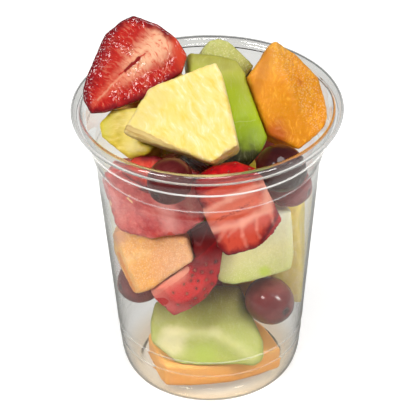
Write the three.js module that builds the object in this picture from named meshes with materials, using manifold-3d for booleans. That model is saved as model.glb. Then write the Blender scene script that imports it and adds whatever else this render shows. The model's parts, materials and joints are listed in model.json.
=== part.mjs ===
// Fruit cup: a clear plastic cup heaped with fresh cut fruit, sold ready to eat.
// Millimetres, +Z up. The cup stands on z = 0 with its axis on Z, and its front faces -Y.

import * as THREE from 'three';
import { ConvexGeometry } from 'three/addons/geometries/ConvexGeometry.js';
import { mergeVertices } from 'three/addons/utils/BufferGeometryUtils.js';
import Module from 'manifold-3d';

const wasm = await Module();
wasm.setup();
const { Manifold, Mesh } = wasm;

// ---------------------------------------------------------------- driving dimensions

const SHEET = 0.6;             // wall thickness of the cup
const GAP = 0.3;               // air between two pieces that touch
const CUP_SEGMENTS = 40;       // facets round the cup

const LIP_PLANE = 109.3;       // height of the middle of the rolled lip
const LIP_RADIUS = 47.1;       // from the axis to the middle of the roll
const LIP_ROLL = 1.6;          // radius of the roll, at the middle of the sheet
const ROLL_STEPS = 7;

const UPPER_RING = { radius: 43.7, height: 100.2 };   // bead under the lip
const LOWER_RING = { radius: 40.6, height: 91.5 };    // where the flare meets the taper
const RING_STEP = 0.5;         // how far a ring stands out
const WALL_FOOT = { radius: 32.8, height: 13 };       // lower end of the straight taper
const BASE_RINGS = [14.6, 20.9];                      // heights of the two faint rings near the base
const BASE_RING_STEP = 0.25;

const FOOT_RADIUS = 27.6;      // outer edge of the ring that the cup stands on
const FOOT_INNER = 25.9;       // inner edge of that ring
const FOOT_CURVE = [[29.5, 1.9], [31.3, 4.8], [32.4, 8.8]];   // the wall turning up from the foot
const FLOOR_HEIGHT = 3.6;      // the pushed-up floor
const FLOOR_RADIUS = 25;
const HEAP_ROOM = 60;          // how far above the lip fruit may reach

const CHUNK_ROUND = 1.2;       // rounding of the edges of a cut chunk
const BERRY_ROUND = 0.6;       // rounding of the edge of a cut berry
const BERRY_LEVELS = [0, 0.4, 0.75, 0.96];   // depths of the rings that make a berry's domed skin

const GRAPE_SEGMENTS = 16;
const GRAPE_RINGS = 8;
const GRAPE_LONG = 1.08;       // a grape's length against its width
const SCAR = { radius: 0.9, rim: 79, depth: 0.5 };   // where the stem came off; rim is in degrees

const DEGREE = Math.PI / 180;

const COLOURS = {
  cup: [0xf4f6f6, 0.05],
  strawberry: [0xc8242a, 0.3],
  pineapple: [0xf1df7c, 0.45],
  honeydew: [0xb4cf58, 0.35],
  cantaloupe: [0xf2a347, 0.4],
  watermelon: [0xd94a4e, 0.4],
  grape: [0x4c1620, 0.15],
};

// ---------------------------------------------------------------- solids and places

function solidOf(geometry) {
  const bare = geometry.clone();
  bare.deleteAttribute('normal');
  bare.deleteAttribute('uv');
  const merged = mergeVertices(bare, 1e-4);
  return new Manifold(new Mesh({
    numProp: 3,
    vertProperties: new Float32Array(merged.attributes.position.array),
    triVerts: new Uint32Array(merged.index.array),
  }));
}

function geometryOf(solid) {
  const mesh = solid.getMesh();
  const geometry = new THREE.BufferGeometry();
  geometry.setAttribute('position', new THREE.BufferAttribute(mesh.vertProperties, 3));
  geometry.setIndex(new THREE.BufferAttribute(mesh.triVerts, 1));
  return geometry;
}

function meshOf(name, kind, geometry) {
  const [color, roughness] = COLOURS[kind];
  const glass = kind === 'cup';
  const material = new THREE.MeshStandardMaterial({
    color, roughness, metalness: 0, transparent: glass, opacity: glass ? 0.3 : 1,
  });
  const mesh = new THREE.Mesh(geometry, material);
  mesh.name = name;
  return mesh;
}

// A place in the cup: `at` is the middle of the piece's main face, `facing` is the way that face
// looks, as degrees round the cup from the front towards +X and degrees up from level.
function placed(geometry, { at, facing }) {
  const [azimuth, elevation] = facing;
  const turn = new THREE.Euler((90 - elevation) * DEGREE, 0, azimuth * DEGREE, 'ZXY');
  return geometry.applyMatrix4(new THREE.Matrix4().makeRotationFromEuler(turn)).translate(...at);
}

// ---------------------------------------------------------------- the cup

function arc(centre, radius, from, to, steps) {
  return Array.from({ length: steps + 1 }, (_, i) => {
    const angle = (from + (to - from) * i / steps) * DEGREE;
    return [centre[0] + radius * Math.cos(angle), centre[1] + radius * Math.sin(angle)];
  });
}

function wallRadius(height) {
  const share = (height - WALL_FOOT.height) / (LOWER_RING.height - WALL_FOOT.height);
  return WALL_FOOT.radius + share * (LOWER_RING.radius - WALL_FOOT.radius);
}

// The middle line of the sheet, from the middle of the floor out to the free edge of the lip.
function sheetLine() {
  const line = [[0, FLOOR_HEIGHT], [FLOOR_RADIUS - 1, FLOOR_HEIGHT], [FLOOR_RADIUS, FLOOR_HEIGHT - 0.6]];
  const foot = SHEET / 2;
  line.push([FOOT_INNER, foot + 0.8], [FOOT_INNER + 0.5, foot], [FOOT_RADIUS - 0.2, foot]);
  line.push(...FOOT_CURVE, [WALL_FOOT.radius, WALL_FOOT.height]);
  for (const height of BASE_RINGS) {
    line.push([wallRadius(height) - BASE_RING_STEP, height - 0.5]);
    line.push([wallRadius(height) + BASE_RING_STEP, height + 0.5]);
  }
  line.push([LOWER_RING.radius - RING_STEP, LOWER_RING.height - 0.9]);
  line.push([LOWER_RING.radius + RING_STEP, LOWER_RING.height + 0.3]);
  line.push([UPPER_RING.radius - RING_STEP, UPPER_RING.height - 0.9]);
  line.push([UPPER_RING.radius + RING_STEP, UPPER_RING.height + 0.3]);
  line.push(...arc([LIP_RADIUS, LIP_PLANE], LIP_ROLL, 195, -105, ROLL_STEPS));
  return line;
}

function leftOf(from, to) {
  return new THREE.Vector2(from[1] - to[1], to[0] - from[0]).normalize();
}

// The sheet line moved sideways by `distance`, to its left, with mitred corners.
function beside(line, distance) {
  const last = line.length - 1;
  return line.map((point, i) => {
    const before = i === 0 ? new THREE.Vector2(0, 1) : leftOf(line[i - 1], point);
    const after = i === last ? before : leftOf(point, line[i + 1]);
    const reach = distance / (1 + before.dot(after));
    return [point[0] + (before.x + after.x) * reach, point[1] + (before.y + after.y) * reach];
  });
}

function cupGeometry() {
  const line = sheetLine();
  const outside = beside(line, -SHEET / 2);
  const inside = beside(line, SHEET / 2).reverse();
  const profile = [...outside, ...inside].map(([r, z]) => new THREE.Vector2(r, z));
  return new THREE.LatheGeometry(profile, CUP_SEGMENTS).rotateX(90 * DEGREE);
}

// The room inside the cup that fruit can fill, open upwards above the lip.
function roomInside() {
  const line = sheetLine();
  const wall = beside(line, SHEET / 2 + GAP + 0.1).slice(0, line.length - ROLL_STEPS - 1);
  const mouth = wall[wall.length - 1][0] + 1;
  const top = LIP_PLANE + HEAP_ROOM;
  const profile = [...wall, [mouth, LIP_PLANE + LIP_ROLL], [mouth + 2, top], [0, top]];
  const points = profile.map(([r, z]) => new THREE.Vector2(r, z));
  return solidOf(new THREE.LatheGeometry(points, CUP_SEGMENTS).rotateX(90 * DEGREE));
}

// ---------------------------------------------------------------- cut fruit

// Directions from the middle of a rounded corner to its surface.
const CORNER = [];
for (const x of [-1, 0, 1]) {
  for (const y of [-1, 0, 1]) {
    for (const z of [-1, 0, 1]) {
      const sides = Math.abs(x) + Math.abs(y) + Math.abs(z);
      if (sides === 1 || sides === 3) CORNER.push(new THREE.Vector3(x, y, z).normalize());
    }
  }
}

function middleOf(outline) {
  const sum = outline.reduce((a, b) => [a[0] + b[0], a[1] + b[1]]);
  return [sum[0] / outline.length, sum[1] / outline.length];
}

// One ring of corners: the outline at a depth, made smaller about its middle and moved sideways.
function ring(outline, { depth = 0, scale = 1, shift = [0, 0] }) {
  const [mx, my] = middleOf(outline);
  return outline.map(([x, y]) => new THREE.Vector3(
    mx + (x - mx) * scale + shift[0], my + (y - my) * scale + shift[1], -depth));
}

function hull(corners, round) {
  const points = corners.flatMap((c) => CORNER.map((d) => c.clone().addScaledVector(d, round)));
  return new ConvexGeometry(points);
}

// A chunk cut with straight strokes: the outline of its main face, its thickness, and how the
// far face is smaller (`taper`) and moved (`slant`). `ridge` adds corners that stand out.
function chunkCorners({ outline, thick, taper = 1, slant = [0, 0], ridge = [] }) {
  const reach = Math.max(...outline.map(([x, y]) => Math.hypot(x, y)));
  const inset = 1 - 1.6 * CHUNK_ROUND / reach;
  const near = ring(outline, { depth: CHUNK_ROUND, scale: inset });
  const far = ring(outline, { depth: thick - CHUNK_ROUND, scale: inset * taper, shift: slant });
  return [...near, ...far, ...ridge.map(([x, y, h]) => new THREE.Vector3(x, y, h - CHUNK_ROUND))];
}

// A berry cut lengthwise: a flat face, and behind it the skin as a half dome that is nearly
// closed at its last ring. `bulge` raises the face of a piece cut off the side, which is skin too.
function berryCorners({ outline, thick, slant = [0, 0], bulge = 0 }) {
  const skin = BERRY_LEVELS.flatMap((share) => ring(outline, {
    depth: BERRY_ROUND + (thick - 2 * BERRY_ROUND) * share,
    scale: Math.sqrt(1 - 0.9 * share * share) * 0.97,
    shift: [slant[0] * share, slant[1] * share],
  }));
  const front = bulge > 0 ? ring(outline, { depth: BERRY_ROUND - bulge, scale: 0.6 }) : [];
  return [...skin, ...front];
}

function fruitSolid(piece, grow) {
  const berry = piece.kind === 'strawberry';
  const corners = berry ? berryCorners(piece) : chunkCorners(piece);
  return solidOf(placed(hull(corners, (berry ? BERRY_ROUND : CHUNK_ROUND) + grow), piece));
}

// A grape: a long ball with a small flat dimple at the end where its stem was.
function grapeSolid({ radius, at, facing }, grow) {
  const scar = radius * GRAPE_LONG - (grow ? 0 : SCAR.depth);
  const profile = [[0, scar], [SCAR.radius, scar]];
  for (const [r, z] of arc([0, 0], radius, SCAR.rim, -90, GRAPE_RINGS)) profile.push([r, z * GRAPE_LONG]);
  profile[profile.length - 1][0] = 0;
  const points = profile.reverse().map(([r, z]) => new THREE.Vector2(r, z));
  const geometry = new THREE.LatheGeometry(points, GRAPE_SEGMENTS).rotateX(90 * DEGREE);
  const size = 1 + grow / radius;
  return solidOf(placed(geometry.scale(size, size, size), { at, facing }));
}

// ---------------------------------------------------------------- what lies in the cup
// Listed from the pieces that keep their whole shape to those that are pressed in behind them.
// An outline is drawn on the piece's main face: x level and y up, from the point `at`. `base` is
// the height of a piece lying under this one, which it stays above.

const FRUIT = [
  { name: 'grape_front_left', kind: 'grape', radius: 8.2, at: [-13.5, -31.2, 99], facing: [-28, -19] },
  { name: 'grape_right_upper', kind: 'grape', radius: 8.6, at: [26, -21, 97], facing: [65, -15] },
  { name: 'grape_right_lower', kind: 'grape', radius: 8.2, at: [28.5, -9.5, 82.5], facing: [63, -4] },
  { name: 'grape_low_right', kind: 'grape', radius: 8.9, at: [21.5, -12.3, 34], facing: [40, -2] },
  { name: 'grape_low_left', kind: 'grape', radius: 8.3, at: [-25.2, -4, 38], facing: [-60, 0] },
  {
    name: 'strawberry_half_top', kind: 'strawberry', at: [-25.6, 8, 123], facing: [-5, 38], thick: 13,
    outline: [[-1.5, 18], [7.5, 15], [14.5, 10.5], [18.5, 4], [17, -2], [9.5, -6.5], [2.5, -12.5],
      [-4, -14.5], [-11, -17.5], [-15.5, -18], [-19, -12], [-17.5, -6], [-14.5, 3], [-11, 11], [-5.5, 16]],
  },
  {
    name: 'pineapple_top', kind: 'pineapple', at: [-8, -12, 115.5], facing: [-6, 48], thick: 13,
    outline: [[-22.5, -8.5], [-14, 8.5], [10, 19.5], [12.5, 14.5], [16.5, 0.5], [20, -11.5], [11, -18],
      [-8, -12]],
    taper: 0.85, slant: [2, -1],
  },
  {
    name: 'strawberry_wedge_front', kind: 'strawberry', at: [11.1, -32, 84.8], facing: [8, 12], thick: 14,
    outline: [[-15.5, 10], [-9, 14], [2, 15], [8.7, 12], [15.5, -6], [12.5, -10], [4.5, -14], [-5, -15.5],
      [-7.7, -13], [-11.5, -1]],
    slant: [-1, 8],
  },
  {
    name: 'cantaloupe_top', kind: 'cantaloupe', at: [29.8, 6, 110.7], facing: [25, 38], thick: 21,
    outline: [[0.5, 20.5], [7, 14], [13, 3.5], [13, -8.5], [11.5, -14], [6, -17], [-2, -20.5], [-11.5, -13],
      [-12.5, 3], [-13, 11], [-6.5, 16]],
    taper: 0.8, ridge: [[0, 4, 2.5]],
  },
  {
    name: 'honeydew_slice_top', kind: 'honeydew', at: [10.4, 2, 109.3], facing: [12, 42], thick: 11,
    outline: [[-13.5, 21.5], [-3.5, 19.5], [3, 17], [7, 4], [9.5, -1.5], [11, -11.5], [6.5, -18.5],
      [2, -22.5], [-11, -22.5], [-14, -4]],
    ridge: [[0, -3, 1.5]],
  },
  {
    name: 'honeydew_back_top', kind: 'honeydew', at: [7.8, 22, 116.8], facing: [10, 40], thick: 12,
    outline: [[-9, 4], [-6, 7], [-2.5, 7.5], [1, 6], [9.5, -4.5], [8, -20], [-8, -20]],
  },
  {
    name: 'pineapple_left', kind: 'pineapple', at: [-29.6, -5.5, 103.2], facing: [-25, 40], thick: 13,
    outline: [[-11.5, 1], [-9, -3.5], [4, -9], [11.5, -6], [13, 3.5], [5, 11], [-8, 7]],
  },
  {
    name: 'strawberry_slice_left', kind: 'strawberry', at: [-22, -19, 95], facing: [-20, 40], thick: 9,
    outline: [[-9, -2], [-6, 4], [2, 6], [9, 4], [8, -4], [0, -6]],
  },
  {
    name: 'watermelon_left', kind: 'watermelon', at: [-21, -22, 82.7], facing: [-22, 12], thick: 22,
    outline: [[-18.5, 8.5], [-10.5, 11.5], [10.5, 18], [21, 14], [21, -2], [13.5, -8.5], [1.5, -13],
      [-12, -12.5], [-16.5, -3.5], [-20, 5]],
    taper: 0.95, slant: [-5, -3],
  },
  {
    name: 'honeydew_slab_right', kind: 'honeydew', at: [17.3, -17.5, 61.1], facing: [12, 14], thick: 13,
    outline: [[-14, 2], [-16, -10], [-14.5, -12], [-9.5, -13.5], [-2, -13], [12.5, -10.5], [14, -5], [14, 13],
      [-11, 14]],
  },
  {
    name: 'cantaloupe_left', kind: 'cantaloupe', at: [-21.4, -24, 59.4], facing: [-25, 15], thick: 17,
    outline: [[-16, 6.5], [-15, -1.5], [-12, -5.5], [-5, -14.5], [1.5, -10.5], [17, 5], [14, 12.5],
      [-13, 11]],
    slant: [-5, 0],
  },
  {
    name: 'strawberry_low_front', kind: 'strawberry', at: [-9, -25.5, 52.8], facing: [-8, 12], thick: 13,
    bulge: 3,
    outline: [[-12.5, -5], [-11, -8.5], [-4, -14.5], [2, -11.5], [7, -7.5], [11.5, -1], [13.5, 12], [9, 24],
      [-0.5, 18]],
  },
  {
    name: 'honeydew_bottom', kind: 'honeydew', at: [-0.9, -17, 24.4], facing: [-3, 40], thick: 20, base: 14.3,
    outline: [[-22, 3.5], [-21.5, -4], [-13, -11], [-8.5, -13.3], [5.5, -13.3], [17.5, -12.5], [20.3, -10.3],
      [20.3, -3.5], [16, 2.5], [11.5, 17], [2, 17], [-20.5, 10.5]],
    ridge: [[2.6, -1.1, 4], [-12.8, -1.7, 2]],
  },
  {
    name: 'cantaloupe_floor', kind: 'cantaloupe', at: [0, 0, 14], facing: [0, 90], thick: 9.7,
    outline: [[-23.5, -3], [-19, -20], [-17, -24], [-8, -24.7], [7, -22.7], [18, -18], [26, -13.5],
      [20.5, 1], [12, 12], [-14, 12]],
  },
  {
    name: 'pineapple_right', kind: 'pineapple', at: [35.5, 3, 45], facing: [78, 4], thick: 12,
    outline: [[-8, 21], [8, 23], [10, -17], [-10, -17]],
  },
  {
    name: 'watermelon_back_low', kind: 'watermelon', at: [-9, 30, 27], facing: [197, 8], thick: 20,
    base: 14.3,
    outline: [[-13, -12], [14, -11], [12, 10], [-3, 13], [-12, 9]],
  },
  {
    name: 'cantaloupe_back_low', kind: 'cantaloupe', at: [19, 24, 26], facing: [142, 5], thick: 18,
    outline: [[-12, -10], [11, -12], [13, 6], [2, 13], [-11, 11]],
  },
  {
    name: 'honeydew_back_middle', kind: 'honeydew', at: [-16, 28, 52], facing: [208, 4], thick: 19,
    outline: [[-15, -12], [12, -13], [15, 4], [6, 13], [-13, 12]],
  },
  {
    name: 'strawberry_back', kind: 'strawberry', at: [13, 30, 51], facing: [158, 10], thick: 14,
    outline: [[-12, 4], [-9, 10], [-1, 13], [8, 10], [12, 3], [9, -6], [2, -15], [-3, -15], [-9, -6]],
  },
  {
    name: 'pineapple_back', kind: 'pineapple', at: [-15, 31, 80], facing: [205, 6], thick: 20,
    outline: [[-17, -10], [15, -14], [17, 2], [9, 14], [-14, 9]],
  },
  {
    name: 'watermelon_back_right', kind: 'watermelon', at: [19, 28, 78], facing: [150, 6], thick: 18,
    outline: [[-14, -11], [13, -14], [15, 6], [3, 8], [-14, 5]],
  },
  {
    name: 'pineapple_middle', kind: 'pineapple', at: [6, -2, 83], facing: [20, 70], thick: 18,
    outline: [[-13, -9], [12, -11], [14, 9], [-10, 12]],
  },
  {
    name: 'cantaloupe_middle', kind: 'cantaloupe', at: [2, 0, 62], facing: [-15, 75], thick: 22,
    outline: [[-12, -12], [11, -10], [12, 10], [-12, 9]],
  },
  {
    name: 'cantaloupe_back_left', kind: 'cantaloupe', at: [-22, 24, 104], facing: [215, 35], thick: 16,
    outline: [[-13, -10], [12, -12], [13, 5], [2, 12], [-12, 8]],
  },
  { name: 'grape_back', kind: 'grape', radius: 8.4, at: [2, 33, 66], facing: [180, 0] },
];

// ---------------------------------------------------------------- the filled cup

function buildFruit() {
  const room = roomInside();
  const before = [];
  return FRUIT.map((piece) => {
    const make = piece.kind === 'grape' ? grapeSolid : fruitSolid;
    const rest = piece.base ?? 0;
    let solid = make(piece, 0).intersect(room).trimByPlane([0, 0, 1], rest);
    for (const other of before) solid = solid.subtract(other);
    before.push(make(piece, GAP).trimByPlane([0, 0, 1], rest - GAP));
    return meshOf(piece.name, piece.kind, geometryOf(solid));
  });
}

const fruitCup = new THREE.Group();
fruitCup.name = 'fruit_cup';
fruitCup.add(meshOf('cup', 'cup', cupGeometry()));
fruitCup.add(...buildFruit());

export default fruitCup;
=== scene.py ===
# %% [markdown]
# # A cup of cut fruit
# A clear plastic cup, sold ready to eat, heaped with wet cut fruit. The solids of the cup and of
# every piece of fruit are already made and placed, so this lesson does the rest: it gives each
# piece the fine surface of real flesh or skin, makes the thin clear cup smooth, mixes the
# materials, and sets up a small studio around it.

# %% Load the fixed frame
import json
import math

import bmesh
import bpy
import numpy as np
from mathutils import Matrix, Vector, kdtree, noise

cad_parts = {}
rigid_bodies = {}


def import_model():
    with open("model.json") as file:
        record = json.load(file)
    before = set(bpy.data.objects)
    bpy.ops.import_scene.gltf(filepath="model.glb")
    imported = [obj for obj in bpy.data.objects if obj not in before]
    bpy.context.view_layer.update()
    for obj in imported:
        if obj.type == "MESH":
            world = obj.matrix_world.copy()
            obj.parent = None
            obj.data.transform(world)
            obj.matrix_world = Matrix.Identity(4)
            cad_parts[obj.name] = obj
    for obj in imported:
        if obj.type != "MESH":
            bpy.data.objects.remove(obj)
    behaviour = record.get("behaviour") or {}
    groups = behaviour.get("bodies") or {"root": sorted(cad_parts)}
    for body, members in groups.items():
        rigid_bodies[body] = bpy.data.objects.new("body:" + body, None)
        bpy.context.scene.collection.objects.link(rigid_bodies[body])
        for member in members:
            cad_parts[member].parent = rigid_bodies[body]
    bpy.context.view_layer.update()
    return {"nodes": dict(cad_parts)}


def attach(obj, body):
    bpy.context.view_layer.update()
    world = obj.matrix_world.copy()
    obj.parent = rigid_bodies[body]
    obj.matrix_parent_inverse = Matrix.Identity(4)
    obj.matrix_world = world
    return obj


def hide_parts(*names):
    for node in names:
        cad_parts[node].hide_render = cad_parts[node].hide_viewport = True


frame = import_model()
MM = 0.001
print("nodes in the frame:", len(frame["nodes"]))

# %% [markdown]
# ## The studio
# Food for a menu is shot with a long lens, from a little above, on a bright white table with two
# large soft boxes. The long lens keeps the cup's sides straight. The camera comes first, because
# everything after it is judged through it. It looks at the middle of the lip from 1.6 m away,
# then is turned down a little, so that the whole cup comes to the middle of the frame.

# %% The camera
FRAME_PX = 416
FOCAL_PX = 4464                 # focal length, counted in pixels of the frame
LIP_CENTRE_PX = (207.2, 108.3)  # where the middle of the lip falls in the frame
LOOK_DOWN = math.radians(32.1)
LEAN = math.radians(0.85)       # the frame's level tips down to the right by this much
DISTANCE = 1.6
LIP_PLANE = 109.3               # height of the lip, mm
SENSOR = 36.0


def shown(name, data):
    """A new object in the scene."""
    thing = bpy.data.objects.new(name, data)
    bpy.context.scene.collection.objects.link(thing)
    return thing


def camera_axes():
    """Right, up and back of the camera, and the way from it to the lip, as world directions."""
    ahead = Vector((0, math.cos(LOOK_DOWN), -math.sin(LOOK_DOWN)))
    tip = Matrix.Rotation(LEAN, 3, ahead)
    level = Vector((1, 0, 0))
    right, up = tip @ level, tip @ level.cross(ahead)
    middle = FRAME_PX / 2
    aim = (ahead * FOCAL_PX + right * (middle - LIP_CENTRE_PX[0])
           - up * (middle - LIP_CENTRE_PX[1])).normalized()
    right = (right - aim * right.dot(aim)).normalized()
    return right, right.cross(aim), -aim, ahead


*axes, ahead = camera_axes()
camera = shown("camera", bpy.data.cameras.new("camera"))
spot = Vector((0, 0, LIP_PLANE * MM)) - ahead * DISTANCE
camera.matrix_world = Matrix.Translation(spot) @ Matrix(axes).transposed().to_4x4()
camera.data.sensor_width = SENSOR
camera.data.lens = FOCAL_PX * SENSOR / FRAME_PX
camera.data.clip_end = 20
bpy.context.scene.camera = camera
print("lens in mm:", round(camera.data.lens, 1), "camera at", tuple(round(v, 3) for v in spot))

# %% [markdown]
# A material is a small graph of nodes. These few helpers keep the graphs readable. A `Wire` is
# the output of a node, and sums with wires are written as in Python. `put` adds a node and fills
# its sockets, `ramp` turns a number into a colour, and `mixed` blends two colours.

# %% Helpers for node graphs
class Wire:
    """A node's output. Each sum with it adds a Math node, and [name] is the node's output of that name."""

    def __init__(self, tree, socket):
        self.tree, self.socket = tree, socket

    def __getitem__(self, name):
        return Wire(self.tree, self.socket.node.outputs[name])

    def __add__(self, other):
        return maths("ADD", self, other)

    def __sub__(self, other):
        return maths("SUBTRACT", self, other)

    def __rsub__(self, other):
        return maths("SUBTRACT", other, self)

    def __mul__(self, other):
        return maths("MULTIPLY", self, other)

    def __truediv__(self, other):
        return maths("DIVIDE", self, other)

    def __rtruediv__(self, other):
        return maths("DIVIDE", other, self)


def fill(node, sockets):
    """Fills a node's inputs, each with a value, a colour or a wire."""
    for name, value in sockets.items():
        socket = node.inputs[name]
        if isinstance(value, Wire):
            value.tree.links.new(value.socket, socket)
        else:
            socket.default_value = (*value, 1) if socket.type == "RGBA" else value


def put(tree, kind, sockets=None, out=0, **settings):
    """Adds a node, and gives one of its outputs."""
    node = tree.nodes.new("ShaderNode" + kind)
    for name, value in settings.items():
        setattr(node, name, value)
    fill(node, sockets or {})
    return Wire(tree, node.outputs[out])


def joined(kind, values, out=0, **settings):
    """Adds a node to the tree that its inputs, given in their order, come from."""
    tree = next(value.tree for value in values if isinstance(value, Wire))
    return put(tree, kind, dict(enumerate(values)), out, **settings)


def maths(operation, *values, clamp=False):
    return joined("Math", values, operation=operation, use_clamp=clamp)


def vectors(operation, *values):
    out = "Value" if operation in ("DOT_PRODUCT", "LENGTH", "DISTANCE") else 0
    return joined("VectorMath", values, out, operation=operation)


def scaled(vector, factor):
    return put(vector.tree, "VectorMath", {0: vector, "Scale": factor}, operation="SCALE")


def parts(vector):
    """A wire from which X, Y and Z can be had."""
    return joined("SeparateXYZ", [vector])


def cloudy(vector, scale, detail, rough=0.5, out=0):
    """Soft noise. It is finer with a larger scale."""
    return put(vector.tree, "TexNoise", {
        "Vector": vector, "Scale": scale, "Detail": detail, "Roughness": rough}, out)


def ranged(value, low, high, to_low=0, to_high=1, smooth=True):
    """Moves a number from one range to another, without leaving it."""
    return joined("MapRange", [value, low, high, to_low, to_high], "Result",
                  interpolation_type="SMOOTHSTEP" if smooth else "LINEAR")


def ramp(value, *stops):
    """A colour ramp from (place, colour) stops."""
    wire = joined("ValToRGB", [value])
    elements = wire.socket.node.color_ramp.elements
    while len(elements) < len(stops):
        elements.new(0.5)
    for element, (place, colour) in zip(elements, stops):
        element.position = place
        element.color = (*colour, 1)
    return wire


def mixed(amount, first, second, mode="MIX"):
    tree = next(value.tree for value in (amount, first) if isinstance(value, Wire))
    return put(tree, "Mix", {0: amount, 6: first, 7: second}, 2, data_type="RGBA", blend_type=mode)


def new_material(name):
    """A material, its node tree and its shader."""
    material = bpy.data.materials.new(name)
    material.use_nodes = True
    return material, material.node_tree, material.node_tree.nodes["Principled BSDF"]


def as_mesh(shape, name):
    """The finished bmesh shape as a mesh."""
    mesh = bpy.data.meshes.new(name)
    shape.to_mesh(mesh)
    shape.free()
    return mesh


print("helpers ready")

# %% [markdown]
# The table is a wide pale sheet, far larger than the cup, so that no edge shows. To the lens it
# glows a little, as a light table does, so that it comes out white with a faint shadow. Seen
# through the cup it glows less, which keeps the clear walls grey against it, and more under and
# close behind the cup: painted light that lifts the cup's shadow there. What the walls mirror
# would veil the fruit behind them, so the table is darker in mirror images, and darker still near
# the cup and in the ring at the front that the wall just under the lip mirrors: painted shade that
# only mirror images show.

# %% The table
TABLE_HALF = 1.5
TABLE_GLOW = 0.6         # to the lens
TABLE_THROUGH = 0.26     # seen through the cup
TABLE_UNDER_PAINTED_LIGHT = 0.45       # and there, under and close behind the cup, where its shadow falls: painted light that lifts it
TABLE_MIRRORED = 0.24    # in mirror images, far from the cup
TABLE_WHITE = (0.62, 0.615, 0.60)
TABLE_DARK, TABLE_NEAR_PAINTED_SHADE = (0.50, 0.50, 0.48), (0.42, 0.42, 0.40)  # in mirror images, and there near the cup: painted shade
TABLE_RING_PAINTED_SHADE = (0.03, 0.03, 0.03)                                # and in the ring: painted shade, seen only in mirror images
RING_STARTS, RING_ENDS = (0.116, 0.106), (0.120, 0.132)          # metres from the cup's axis
RING_FRONT = (-0.08, -0.04)      # its Y: the ring is only at the front
NEAR_ENDS, SHADOW_ENDS = (0.105, 0.095), (0.14, 0.09)
grid = bmesh.new()
bmesh.ops.create_grid(grid, x_segments=4, y_segments=4, size=TABLE_HALF)
table = shown("table", as_mesh(grid, "table"))
paint, tree, shader = new_material("table_white")
light = put(tree, "LightPath")
place = put(tree, "TexCoord", out="Object")
middle = vectors("LENGTH", place)
outside = ranged(middle, *RING_ENDS)
unringed = maths("MAXIMUM", outside, ranged(middle, *RING_STARTS))
unringed = maths("MAXIMUM", unringed, ranged(parts(place)["Y"], *RING_FRONT))
mirrored = maths("MINIMUM", light["Glossy Depth"], 1) * (1 - maths("MINIMUM", light["Diffuse Depth"], 1))
in_mirror = mixed(ranged(middle, *NEAR_ENDS), mixed(unringed, TABLE_RING_PAINTED_SHADE, TABLE_DARK), TABLE_NEAR_PAINTED_SHADE)
through = light["Is Transmission Ray"] * (1 - mirrored)
through = through * ranged(middle, *SHADOW_ENDS, TABLE_THROUGH, TABLE_UNDER_PAINTED_LIGHT)
glow = light["Is Camera Ray"] * TABLE_GLOW + through + mirrored * (outside * TABLE_MIRRORED)
fill(shader, {"Base Color": mixed(mirrored, TABLE_WHITE, in_mirror), "Roughness": 0.9,
              "Specular IOR Level": 0, "Emission Color": (1, 1, 1), "Emission Strength": glow})
table.data.materials.append(paint)
print("table is", 2 * TABLE_HALF, "m wide")

# %% [markdown]
# Two soft boxes stand left and right of the camera. A grape is a round mirror, so it shows both
# of them as small bright windows. The pale room around gives the rest of the light, and it keeps
# the shadows open.

# %% Lights
LIT_POINT, BOX_DISTANCE = Vector((0, 0, 0.08)), 1.2


def facing(azimuth, elevation):
    """A direction, from degrees round from the front (-Y) towards +X, and degrees up."""
    a, e = math.radians(azimuth), math.radians(elevation)
    return Vector((math.sin(a) * math.cos(e), -math.cos(a) * math.cos(e), math.sin(e)))


def soft_box(name, azimuth, elevation, size, power):
    data = bpy.data.lights.new(name, "AREA")
    data.shape = "RECTANGLE"
    data.size, data.size_y = size
    data.energy = power
    box = shown(name, data)
    box.location = LIT_POINT + facing(azimuth, elevation) * BOX_DISTANCE
    box.rotation_euler = facing(azimuth, elevation).to_track_quat("Z", "Y").to_euler()


soft_box("soft_box_left", -50, 42, (0.38, 0.38), 7.0)
soft_box("soft_box_right", 52, 42, (0.30, 0.32), 5.6)
soft_box("soft_box_top", 0, 74, (0.44, 0.34), 5.0)

ROOM_STOPS = ((0.45, 0.08), (0.55, 0.10), (0.80, 0.26), (1.0, 0.36))  # (height of the way, brightness)
WALL_BEHIND = 0.93
world = bpy.data.worlds.new("pale_room")
world.use_nodes = True
room = world.node_tree
height = parts(put(room, "TexCoord", out="Generated"))["Z"] * 0.5 + 0.5
brightness = ramp(height, *((at, (v, v, v)) for at, v in ROOM_STOPS))
seen = put(room, "LightPath")["Is Camera Ray"]
fill(room.nodes["Background"], {"Color": mixed(seen, brightness, (WALL_BEHIND,) * 3)})
bpy.context.scene.world = world
bpy.context.scene.view_settings.view_transform = "Standard"

# %% [markdown]
# ## From plain solids to flesh
# Each solid has the right size and place but flat faces. A copy of it is merged, covered with a
# fine even net of faces (a voxel remesh), and smoothed, so that its edges become soft as on wet
# cut fruit. A second step then moves every point a little, by a noise that suits the fruit.
# Every piece also keeps its own inner coordinates, in millimetres: x and y lie on its main cut
# face and z comes out of it, so that a pattern follows the piece however it is turned.

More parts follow.
